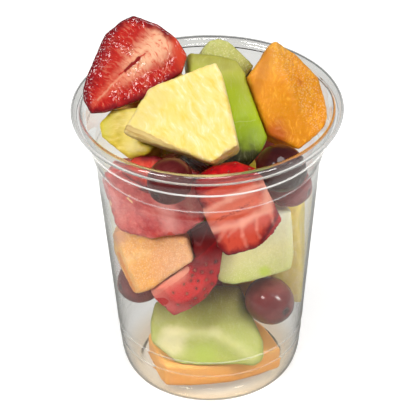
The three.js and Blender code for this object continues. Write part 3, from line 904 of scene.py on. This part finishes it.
def berry_material(name, seed, tip=(0, -12), stem=(0, 12), core=(1.0, 6.0), veins=(1.1, 0.3), lines=(),
                   glints=1.0, pale=0.0, skin_only=False, coat=0.0, dull=0.0, shine=0.2, speckles=(),
                   sparkles=()):
    """tip and stem are the ends of the axis on the face; core is the pale core's half width there.

    veins are (spacing in mm, strength). pale lifts the flesh's red towards salmon, and dull dries
    it. Sparkles (start, end, half width, strength) are lines along which the cells tilt, all of
    them by glints, and speckles (start, end, half width) are lines of small dark dots.
    """
    material, tree, inner, moved = start_material(name, seed)
    run = Vector(stem) - Vector(tip)
    axis = use(berry_axis, unsteady(inner, 4, 1.6), (*tip, 0), (*run.normalized(), 0))
    along, away = axis["Along"], axis["Away"]
    wobble = cloudy(moved, 0.3, 4)
    depth = (wobble - 0.5) * 4 + put(tree, "Attribute", out="Fac", attribute_name="rim")
    flesh = ramp(ranged(depth, 0, 9, smooth=False), (0.03, SKIN_DEEP), (0.12, FLESH_DEEP),
                 (0.34, blend(FLESH_RED, FLESH_SALMON, pale)),
                 (0.95, blend(FLESH_RED, FLESH_SALMON, 0.08 + 0.9 * pale)))
    fan = put(tree, "CombineXYZ", {
        "X": away * LEAN_OF_VEINS + along, "Y": away * 0.28, "Z": axis["Side"] * 0.04})
    fan = vectors("ADD", fan, (17 * seed, 5 * seed, 0))
    rays = cloudy(fan, 1 / veins[0], 3, 0.6)
    inside = ranged(depth, 0.8, 3.5)
    half_width = ranged(along, 0, run.length, *core, smooth=False)
    in_core = ranged(((wobble - 0.5) * 1.6 + away) / half_width, 1.5, 0.3, 0, 0.95) * inside
    in_core = in_core * ranged(along, 0.15 * run.length, 0.7 * run.length, 0.35, 1)
    flesh = mixed(ranged(rays, 0.50, 0.66, 0, veins[1]) * inside, flesh, VEIN)
    flesh = mixed(ranged(rays, 0.46, 0.30, 0, 0.5), flesh, FLESH_DEEP)
    core_tint = mixed(ranged(rays, 0.28, 0.52), FLESH_SALMON, FLESH_CREAM)
    core_tint = mixed(ranged(along, 0.2 * run.length, 0.6 * run.length), FLESH_SALMON, core_tint)
    flesh = drawn(mixed(in_core, flesh, core_tint), unsteady(inner, 3, 0.8), lines)
    skin = ramp(wobble, (0.3, blend(SKIN, SKIN_DEEP, 0.6)), (0.62, SKIN))
    if skin_only:
        on_face = 0.0
        # a darker ring on the slope of each dimple: painted shade
        ring = put(tree, "Attribute", out="Fac", attribute_name="dimple")
        ring = ranged(ring, 0.05, 0.3) * ranged(ring, 0.85, 0.5)
        colour = drawn(mixed(ring * 0.7, skin, SKIN_DEEP), unsteady(inner, 3, 0.8), lines)
    else:
        on_face = ranged(parts(inner)["Z"], FACE_LEVEL - 0.5, FACE_LEVEL, smooth=False)
        colour = mixed(on_face, skin, flesh)
    for start, end, half_width in speckles:
        dots = ranged(cloudy(moved, 1.9, 1), 0.50, 0.58)
        colour = mixed(dots * ranged(away_from(inner, start, end), half_width, 0.3), colour, SPECKLE)
    tilt = DULL_CELLS
    for start, end, half_width, strength in sparkles:
        line = away_from(unsteady(inner, 3, 1.5), start, end)
        tilt = maths("MAXIMUM", tilt, ranged(line, half_width, 0.5 * half_width, 0, strength))
    tilt = ranged(cloudy(moved, 0.45, 2), 0.40, 0.55, 0.35, 1) * tilt * on_face * (0.5 * glints)
    normal = use(open_cells, vectors("MULTIPLY", fan, (1, 3, 12)), 0.5, tilt)
    wetness = use(film, moved, 3, 0.2 + dull, 0.07 + dull)
    close_material(colour, wetness, use(grain, moved, 0.9) * 0.3 + rays * 0.7, 0.12, normal, scatter=0.15,
                   reach_mm=1.2, spread=(1.0, 0.2, 0.15), ior=1.45, coat=coat, coat_roughness=0.05,
                   shine=shine)
    return material


print("strawberry materials ready")

# %% [markdown]
# The seeds of a strawberry lie on a spiral, each a fixed turn round from the one before. The
# same rule spreads points evenly over a ball: step down from pole to pole in equal steps of
# height, and turn by the golden angle at each. Every such way, out from the middle of the piece,
# meets its surface at one point. If that is skin, it gets a seed, and the skin sinks round it.
# The seeds themselves are small flattened balls in one joined mesh.

# %% Seeds and dimples
GOLDEN = math.pi * (3 - math.sqrt(5))
STRIP_FROM, STRIP_TO = (-12.5, -6.9), (9.0, 13.8)   # the low berry's cut edge, on its main face
SEED_SPACING = 4.6          # mm between neighbours
DIMPLE_RADIUS, DIMPLE_DEPTH = 1.25, 0.42            # mm
SEED_SIZE = Vector((0.38, 0.58, 0.28))              # half sizes, mm
SKIN_LEVEL = -1.6           # a point lower than this, in its piece's own z, may bear a seed


def seed_places(piece, name, skin_only):
    """World points and normals of the seeds, spread over the skin by the golden angle."""
    places, normals, inner, _ = points_of(piece, name)
    ways = inner - inner.mean(axis=0)
    ways /= np.linalg.norm(ways, axis=1)[:, None]
    area = 4 * math.pi * (np.ptp(inner, axis=0) / 2).mean() ** 2
    count = int(area / SEED_SPACING ** 2)
    chosen = set()
    for k in range(count):
        height = 1 - 2 * (k + 0.5) / count
        flat = math.sqrt(1 - height * height)
        way = np.array([flat * math.cos(k * GOLDEN), flat * math.sin(k * GOLDEN), height])
        index = int(np.argmax(ways @ way))
        x, y, z = inner[index]
        if (x - STRIP_FROM[0]) - (y - STRIP_FROM[1]) > 3 if skin_only else z < SKIN_LEVEL:
            chosen.add(index)
    chosen = sorted(chosen)
    return places[chosen], normals[chosen]


def sink_dimples(piece, name, spots):
    """Presses a round dimple into the skin at every seed."""
    places = points_of(piece, name)[0]
    sink = np.zeros(len(places))
    for spot in spots:
        away = np.linalg.norm(places - spot, axis=1) / (DIMPLE_RADIUS * MM)
        near = away < 1
        sink[near] = np.maximum(sink[near], (1 - away[near] ** 2) ** 2)
    push(piece, name, -sink * DIMPLE_DEPTH)
    keep(piece, "dimple", sink)


def make_seeds(name, spots, normals, material):
    """All seeds of one berry, as one mesh of flattened balls set in the dimples."""
    shape = bmesh.new()
    for k, (spot, normal) in enumerate(zip(spots, normals)):
        ball = bmesh.ops.create_icosphere(shape, subdivisions=2, radius=MM)["verts"]
        bmesh.ops.scale(shape, verts=ball, vec=SEED_SIZE)
        turn = Vector(normal).to_track_quat("Z", "Y").to_matrix()
        turn = turn @ Matrix.Rotation(0.4 * math.sin(7 * k), 3, "Z")
        bmesh.ops.rotate(shape, verts=ball, cent=(0, 0, 0), matrix=turn)
        bmesh.ops.translate(shape, verts=ball, vec=Vector(spot) - Vector(normal) * DIMPLE_DEPTH * 0.75 * MM)
    mesh = as_mesh(shape, name)
    mesh.shade_smooth()
    finish_piece(shown(name, mesh), None, material)


seed_gold, tree, shader = new_material("seed_gold")
tone = cloudy(put(tree, "TexCoord", out="Object"), 400, 2)
fill(shader, {"Base Color": ramp(tone, (0.35, (0.15, 0.012, 0.010)), (0.65, (0.30, 0.08, 0.03))),
              "Roughness": 0.35, "Specular IOR Level": 0.25})
print("seeds are", SEED_SPACING, "mm apart")

# %% Strawberry pieces
BAND, SLIT, SKIN_WET = (0.82, 0.34, 0.24), (0.22, 0.005, 0.005), (0.30, 0.003, 0.005)
# the dark cut face of the low berry, under the pieces above, is painted shade
CUT_STRIP, CUT_FACE_PAINTED_SHADE, WALL_CONTACT_PAINTED_RED = (0.84, 0.36, 0.24), (0.17, 0.010, 0.011), (0.46, 0.005, 0.005)
BERRIES = {  # name: looks
    "strawberry_half_top": dict(
        tip=(-17, -17), stem=(13, 13), core=(0.6, 7), veins=(0.9, 0.32), seed=1, coat=0.7, shine=0.25,
        sparkles=[((-1.2, -3), (2.4, 1), 2.2, 1), ((8.9, -3.8), (11.5, 2), 3.4, 1),
                  ((-7, 8.6), (-2.6, 4.8), 2.6, 1), ((-3.2, 17), (1, 14.8), 2.2, 1),
                  ((-10.8, 8.4), (-9, 12.5), 2, 1), ((-16.5, -8), (-11, 5), 3.6, 0.7),
                  ((-6, -11), (5.5, -5), 3.6, 0.7), ((-18, -9), (-16, -12.5), 2.4, 0.7)],
        lines=[soft((-19, -13), (-9, 9), 4.2, (0.20, 0.004, 0.010), 0.5),
               soft((17.5, 1), (15, 9.5), 5, (0.62, 0.055, 0.02), 0.9),
               soft((1, 19.5), (16, 12), 2.6, (0.50, 0.03, 0.018), 0.6),
               soft((-7, -5), (4, 5), 1.6, FLESH_RED, 0.4),
               crisp((-5.6, -3.8), (3.2, 4.2), 0.4, FLESH_RED, 0.9),
               # the slit's deep red, darkened as painted shade in the hollow of the core
               crisp((-3.6, -2), (1.4, 2.6), 0.75, SLIT, 0.95),
               soft((-13, -13), (-4, -3.2), 0.7, FLESH_CREAM, 0.4)]),
    "strawberry_wedge_front": dict(
        tip=(-14, -4), stem=(16, 7), core=(0.1, 0.1), veins=(2.2, 0), seed=2, glints=0.1, pale=0.4,
        lines=[soft((-9.5, 0), (5, 4.5), 6, FLESH_SALMON, 0.9),
               soft((-13, 1.8), (-3.9, 6.4), 2.4, BAND, 0.7), soft((-3.9, 6.4), (8, 10.9), 2.4, BAND, 0.7),
               soft((-10.5, -5), (0.7, -3.3), 2.4, BAND, 0.75), soft((0.7, -3.3), (9.6, 1.5), 2.6, BAND, 0.9),
               soft((9.8, 1.5), (10.5, 10.5), 3.6, BAND, 0.9),
               soft((-5.4, -5.2), (-7.9, -9.5), 1.2, BAND, 0.3),
               soft((-1.6, -4.6), (-4.6, -8), 1.1, BAND, 0.28),
               soft((0.6, -4), (0.4, -8), 1.3, BAND, 0.42), soft((0.4, -8), (2, -12.2), 1.2, BAND, 0.3),
               soft((5.9, -1), (5.6, -6), 1.2, BAND, 0.4), soft((5.6, -6), (6.6, -9.5), 1.1, BAND, 0.26),
               soft((11, 0.5), (11.4, -3.5), 1.1, BAND, 0.36), soft((11.4, -3.5), (12.6, -6), 1, BAND, 0.25),
               soft((-15, 13.5), (-3, 16.5), 6, FLESH_RED, 0.6),
               soft((-3, 17), (6, 20.5), 6.5, FLESH_RED, 0.6),
               crisp((-15, 14.2), (-3, 17), 5, SKIN_WET, 0.9), crisp((-3, 17.5), (6, 21), 5.5, SKIN_WET, 0.9),
               crisp((-0.4, 17.5), (0.6, 17.8), 0.6, (0.80, 0.48, 0.08), 1)],
        speckles=[((-9.5, -1.9), (-3, 1), 1), ((-4, 0.4), (4.5, 4.4), 1.1)]),
    "strawberry_slice_left": dict(
        tip=(-9, -2), stem=(9, 1), core=(0.5, 0.8), seed=3, glints=0, pale=0.1, dull=0.45,
        lines=[soft((-9, 2), (-1, 0), 5, (0.60, 0.06, 0.02), 0.6),
               # its near-black right end: painted shade in the gap between the grape and the wedge
               soft((9, -6), (11, 8), 7, (0.05, 0.004, 0.004), 0.95)]),
    "strawberry_low_front": dict(
        seed=4, glints=0, skin_only=True,
        # dark skin at its upper right, next to the cut and under the pieces above: painted shade
        lines=[soft((5, 8), (13, 14), 5, (0.20, 0.006, 0.010), 0.8),
               soft(STRIP_FROM, (-2, 2.6), 6, CUT_STRIP, 0.65),
               crisp(STRIP_FROM, (1, 5), 1.4, CUT_STRIP, 0.7),
               # the cut face beyond the strip, under the cantaloupe and watermelon, painted dark: painted
               # shade
               crisp((1, 16.2), (9, 24), 7.4, CUT_FACE_PAINTED_SHADE, 0.95),
               soft((-8, -5), (6, -1), 7, (0.62, 0.045, 0.04), 0.6),
               soft((-11, -9.5), (2, -12.5), 5.5, (0.66, 0.13, 0.12), 0.7),
               # deeper red where the berry touches the wall: painted, since the wall's veiling reflection is
               # missing there
               crisp((-9.2, -9.6), (-7.4, -8.6), 2, WALL_CONTACT_PAINTED_RED, 1)]),
    "strawberry_back": dict(tip=(0, -14), core=(1, 4), seed=5, glints=0.5),
}
HOLLOW = ((-7.0, -5.0), (4.5, 5.4), 1.3, -0.7)   # of the half berry's core: start, end, half width, height
CUT_SLOPE, CUT_REACH = 0.15, 9                   # the low berry falls back by this share, for this many mm


def berry_relief(inner, normals):
    bumps = 0.3 * hum(inner, 7, 3) + 0.07 * hum(inner, 1.6, 8)
    return bumps + 0.5 * ragged(inner, normals, 1.7, 5)


def cut_corner(inner, normals):
    """The berry's relief, and beyond the pale strip the flesh falls back to a flat cut."""
    start, run = np.array(STRIP_FROM), np.array(STRIP_TO) - np.array(STRIP_FROM)
    beyond = (inner[:, :2] - start) @ np.array((-run[1], run[0])) / np.linalg.norm(run)
    return berry_relief(inner, normals) - CUT_SLOPE * np.clip(beyond, 0, CUT_REACH) * (normals[:, 2] > 0.3)


def slit_face(inner, normals):
    """The berry's relief, with the long hollow of its core."""
    return berry_relief(inner, normals) + line_ridges(inner, [HOLLOW])


RELIEFS = {"strawberry_low_front": cut_corner, "strawberry_half_top": slit_face}
for name, looks in BERRIES.items():
    piece = netted(name, KNIFE_SOFTENING)
    reshape(piece, name, RELIEFS.get(name, berry_relief))
    keep_rim(piece, name)
    spots, normals = seed_places(piece, name, looks.get("skin_only"))
    sink_dimples(piece, name, spots)
    finish_piece(piece, name, berry_material(name, **looks))
    make_seeds(name + "_seeds", spots, normals, seed_gold)
    print(name, "has", len(spots), "seeds")

# %% [markdown]
# ## Grapes
# A grape is a long ball with taut skin, dark red to brown. The light comes a little way into it,
# and a thin dusty bloom dulls it in patches. At one end is the small hollow that the stem left.

# %% Grapes
GRAPE_TINTS = ((0.34, (0.13, 0.008, 0.010)), (0.52, (0.17, 0.013, 0.013)), (0.70, (0.23, 0.024, 0.02)))
BLOOM_TINT, SCAR_TINT = (0.42, 0.20, 0.20), (0.05, 0.004, 0.004)
GRAPE_SOFTENING = 10
GRAPE_SKINS = {  # name: (how light, how wet). How light scales one grape colour: below 1 it is painted shade, above 1 painted light that lifts a grape lying in shade
    "dark": (0.22, 0.4), "shaded": (0.55, 0.25), "pale": (1.6, 0), "dry": (1, 0), "wet": (1, 0.9)}
GRAPES = {"grape_front_left": "shaded", "grape_right_upper": "dark", "grape_right_lower": "pale",
          "grape_low_right": "wet", "grape_low_left": "dry", "grape_back": "dry"}


def grape_material(name, shade, coat):
    material, _, inner, _ = start_material(name)
    clouds, specks = cloudy(inner, 0.16, 3), cloudy(inner, 2.2, 2)
    colour = ramp(clouds, *((place, tuple(v * shade for v in tint)) for place, tint in GRAPE_TINTS))
    bloom = ranged(clouds, 0.42, 0.68) * ranged(specks, 0.35, 0.65, 0.4, 1)
    colour = mixed(bloom * (0.10 * shade), colour, BLOOM_TINT)
    around = vectors("LENGTH", vectors("MULTIPLY", inner, (1, 1, 0)))
    in_scar = ranged(around, 1.8, 1.1) * ranged(parts(inner)["Z"], 3, 5)
    close_material(mixed(in_scar, colour, SCAR_TINT), bloom * 0.2 + 0.28, specks * 0.1 + clouds * 0.5, 0.12,
                   scatter=0.1, reach_mm=1.5, spread=(1.0, 0.15, 0.12), coat=coat, coat_roughness=0.04,
                   ior=1.3, shine=0.15)
    return material


def grape_relief(inner, normals):
    """A slow swell, and at the stem's end a hollow with a low rim."""
    around = np.hypot(inner[:, 0], inner[:, 1])
    scar = 0.25 * np.exp(-((around - 2.2) / 0.8) ** 2) - 0.75 * np.exp(-(around / 1.3) ** 2)
    return 0.22 * hum(inner, 9, 2) + scar * (inner[:, 2] > 0)


skins = {name: grape_material("grape_skin_" + name, *looks) for name, looks in GRAPE_SKINS.items()}
for name, skin in GRAPES.items():
    piece = netted(name, GRAPE_SOFTENING)
    reshape(piece, name, grape_relief)
    finish_piece(piece, name, skins[skin])

# %% [markdown]
# ## The cup
# The cup is pressed from one thin clear sheet, so its shape is a line turned about the axis. The
# line runs from the middle of the pushed-up floor, round the foot, up the wall with its faint
# rings, out over two beads and round the rolled lip. A `spin` turns a strip of that line all the
# way round. The sheet's two sides are the line moved half its thickness to each side.

# %% The line of the sheet
SHEET = 0.6
LIP_RADIUS, LIP_ROLL = 47.1, 1.6
LIP_DROP = 0.7                  # the roll's lower half hangs this much lower than a round one
UPPER_RING, LOWER_RING, RING_STEP = (43.7, 100.2), (40.6, 91.5), 0.5
BETWEEN_RINGS = (42.1, 95.8)
WALL_FOOT = (32.8, 13)
WALL_HEIGHTS = (26, 45, 65, 84)
BASE_RINGS, BASE_RING_STEP = (14.6, 20.9), 0.25
FOOT_RADIUS, FOOT_INNER = 27.6, 25.9
FOOT_CURVE = [(29.5, 1.9), (31.3, 4.8), (32.4, 8.8)]
FLOOR_HEIGHT, FLOOR_RADIUS = 3.6, 25
ROLL_FROM, ROLL_TURN, ROLL_STEPS = 195, 300, 18
TURN_STEPS = 96


def wall_radius(height):
    share = (height - WALL_FOOT[1]) / (LOWER_RING[1] - WALL_FOOT[1])
    return WALL_FOOT[0] + share * (LOWER_RING[0] - WALL_FOOT[0])


def step_out(radius, height, step, below, above):
    """Two points where the wall steps outwards on its way up."""
    return [(radius - step, height - below), (radius + step, height + above)]


def sheet_line():
    """The middle line of the sheet as (radius, height) points, from the floor's middle to the lip's edge."""
    foot = SHEET / 2
    line = [(r, FLOOR_HEIGHT) for r in (0.001, 8, 16, FLOOR_RADIUS - 2.5)]
    line += [(FLOOR_RADIUS - 0.8, FLOOR_HEIGHT - 0.1), (FLOOR_RADIUS, FLOOR_HEIGHT - 0.8),
             (FOOT_INNER, foot + 0.8), (FOOT_INNER + 0.5, foot), (FOOT_RADIUS - 0.2, foot),
             *FOOT_CURVE, WALL_FOOT]
    for height in BASE_RINGS:
        line += step_out(wall_radius(height), height, BASE_RING_STEP, 0.5, 0.5)
    line += [(wall_radius(height), height) for height in WALL_HEIGHTS]
    line += step_out(*LOWER_RING, RING_STEP, 0.9, 0.3)
    line += [BETWEEN_RINGS]
    line += step_out(*UPPER_RING, RING_STEP, 0.9, 0.3)
    for step in range(ROLL_STEPS + 1):
        angle = math.radians(ROLL_FROM - ROLL_TURN * step / ROLL_STEPS)
        drop = LIP_DROP * max(0.0, -math.sin(angle))
        line.append((LIP_RADIUS + LIP_ROLL * math.cos(angle), LIP_PLANE + LIP_ROLL * math.sin(angle) - drop))
    return [Vector(p) for p in line]


def beside(line, distance):
    """The line moved sideways to its left, with mitred corners."""
    moved = []
    for i, point in enumerate(line):
        before = (point - line[i - 1]) if i else Vector((1, 0))
        after = (line[i + 1] - point) if i + 1 < len(line) else before
        sides = [Vector((-way.y, way.x)).normalized() for way in (before, after)]
        moved.append(point + (sides[0] + sides[1]) * distance / (1 + sides[0].dot(sides[1])))
    return moved


line = sheet_line()
profile = beside(line, -SHEET / 2) + beside(line, SHEET / 2)[::-1]
print("points in the cup's outline:", len(profile))

# %% Turning the line round
def spun(name, points, steps, closed=False):
    """A line of (radius, height) points, in mm, turned once about the axis."""
    shape = bmesh.new()
    dots = [shape.verts.new((radius * MM, 0, height * MM)) for radius, height in points]
    edges = [shape.edges.new(ends) for ends in zip(dots, dots[1:] + dots[:1] if closed else dots[1:])]
    bmesh.ops.spin(shape, geom=dots + edges, cent=(0, 0, 0), axis=(0, 0, 1), angle=math.tau,
                   steps=steps, use_merge=True, use_duplicate=False)
    bmesh.ops.remove_doubles(shape, verts=shape.verts, dist=0.02 * MM)
    bmesh.ops.recalc_face_normals(shape, faces=shape.faces)
    return as_mesh(shape, name)


cup = shown("cup_clear", spun("cup", profile, TURN_STEPS))
rounding = cup.modifiers.new("rounding", "SUBSURF")
rounding.levels = rounding.render_levels = 1
applied(cup)
print("cup faces:", len(cup.data.polygons))

# %% [markdown]
# The sheet is clear and very smooth. It bends light like any plastic, so at a slant it mirrors
# the white table and the fruit behind it looks milky. At its outline and in the rolled lip, where
# it is seen at a slant, it is painted grey: painted shade for the dark lines that a thin clear
# sheet shows at its edges. At the foot a tint is painted, partly for a film of juice and partly as
# painted reflection of the orange cantaloupe above.
# Light that only passes through on its way to the fruit isn't worth tracing exactly, so for
# shadows the sheet counts as open, with a little loss.

# %% Clear plastic
JUICE_LEVEL = 9.0        # mm; a film of juice has run down the wall to the foot, and its tint there is also painted reflection of the cantaloupe above
JUICE_AND_REFLECTION_TINT = (0.90, 0.79, 0.64)
# the greys at a slant, for the wall and for the lip, are painted shade
CLEAR, OUTLINE = (0.965, 0.965, 0.95), (0.72, 0.72, 0.69)
LIP_CLEAR, LIP_OUTLINE = (0.95, 0.95, 0.94), (0.38, 0.40, 0.40)
LIP_FROM, LIP_TO = 105.5, 107.0     # mm; the lip's tint takes over between these heights
plastic, tree, shader = new_material("clear_plastic")
slant = put(tree, "LayerWeight", {"Blend": 0.25}, "Facing")
place = put(tree, "TexCoord", out="Object")
height = parts(place)["Z"]
tint = ramp(slant, (0.55, CLEAR), (1.0, OUTLINE))
lip_tint = ramp(slant, (0.45, LIP_CLEAR), (0.9, LIP_OUTLINE))
tint = mixed(ranged(height, LIP_FROM * MM, LIP_TO * MM), tint, lip_tint)
ripple, smear = cloudy(place, 60, 1), cloudy(place, 30, 4)
fill(shader, {
    "Base Color": mixed(ranged(height, JUICE_LEVEL * MM, 0), tint, JUICE_AND_REFLECTION_TINT, "MULTIPLY"),
    "Roughness": ranged(smear, 0.45, 0.75, 0, 0.05), "Transmission Weight": 1, "IOR": 1.47,
    "Normal": put(tree, "Bump", {"Height": ripple, "Distance": 0.02 * MM})})
see_through = put(tree, "BsdfTransparent", {"Color": (0.95, 0.95, 0.95)})
both = put(tree, "MixShader", {
    0: put(tree, "LightPath")["Is Shadow Ray"], 1: Wire(tree, shader.outputs[0]), 2: see_through})
fill(tree.nodes["Material Output"], {"Surface": both})
finish_piece(cup, "cup", plastic)
print("cup is clear")

# %% [markdown]
# At the two rings under the lip and the two near the foot, where the sheet was bent most, a thin
# bright line shows. Each such ring is a thin bead, a trace thicker, on the outside of the wall,
# made by spinning a small flat oval, in plastic that is half white: a painted highlight for that
# bright line.

# %% Rings of painted highlight
def painted_highlight_plastic(name, cloud):
    """Plastic with a white cloud in it, a painted highlight; cloud is how much of the light it stops."""
    material, tree, shader = new_material(name)
    uneven = cloudy(put(tree, "TexCoord", out="Object"), 45, 2)
    fill(shader, {"Base Color": (0.95, 0.93, 0.90), "Roughness": 0.2,
                  "Alpha": ranged(uneven, 0.3, 0.7, 0.7 * cloud, 1.2 * cloud)})
    return material


def ring_bead(name, radius, height, tall, thick, cloud):
    """A bead round the wall: `tall` along the wall and standing `thick` out of it, in mm."""
    angles = [math.tau * step / 8 for step in range(8)]
    oval = [(radius + thick * math.cos(a), height + tall / 2 * math.sin(a)) for a in angles]
    mesh = spun(name, oval, 2 * TURN_STEPS, closed=True)
    mesh.shade_smooth()
    finish_piece(shown(name, mesh), None, painted_highlight_plastic(name + "_milky", cloud))
    print(name, len(mesh.polygons), "faces")


for name, (radius, height), tall, thick, cloud in (
        ("cup_ring_upper", step_out(*UPPER_RING, RING_STEP, 0.9, 0.3)[1], 0.8, 0.42, 0.5),
        ("cup_ring_lower", step_out(*LOWER_RING, RING_STEP, 0.9, 0.3)[1], 0.65, 0.40, 0.18),
        ("cup_ring_base_upper", (wall_radius(BASE_RINGS[1]) + BASE_RING_STEP, BASE_RINGS[1] + 0.5),
         0.65, 0.40, 0.13),
        ("cup_ring_base_lower", (wall_radius(BASE_RINGS[0]) + BASE_RING_STEP, BASE_RINGS[0] + 0.5),
         0.6, 0.38, 0.08)):
    ring_bead(name, radius, height, tall, thick, cloud)

# %% [markdown]
# ## The render's own settings
# Clear walls one behind the other need many bounces, or they turn grey. The last cell prints
# about how many triangles are shown.

# %% Bounces
cycles = bpy.context.scene.cycles
cycles.max_bounces = 14
cycles.transmission_bounces = 12
cycles.glossy_bounces = 4
cycles.diffuse_bounces = 3
cycles.transparent_max_bounces = 12
cycles.use_denoising = True
faces = sum(len(o.data.loop_triangles) or len(o.data.polygons) * 2
            for o in bpy.context.scene.objects if o.type == "MESH" and not o.hide_render)
print("about", faces, "triangles shown")
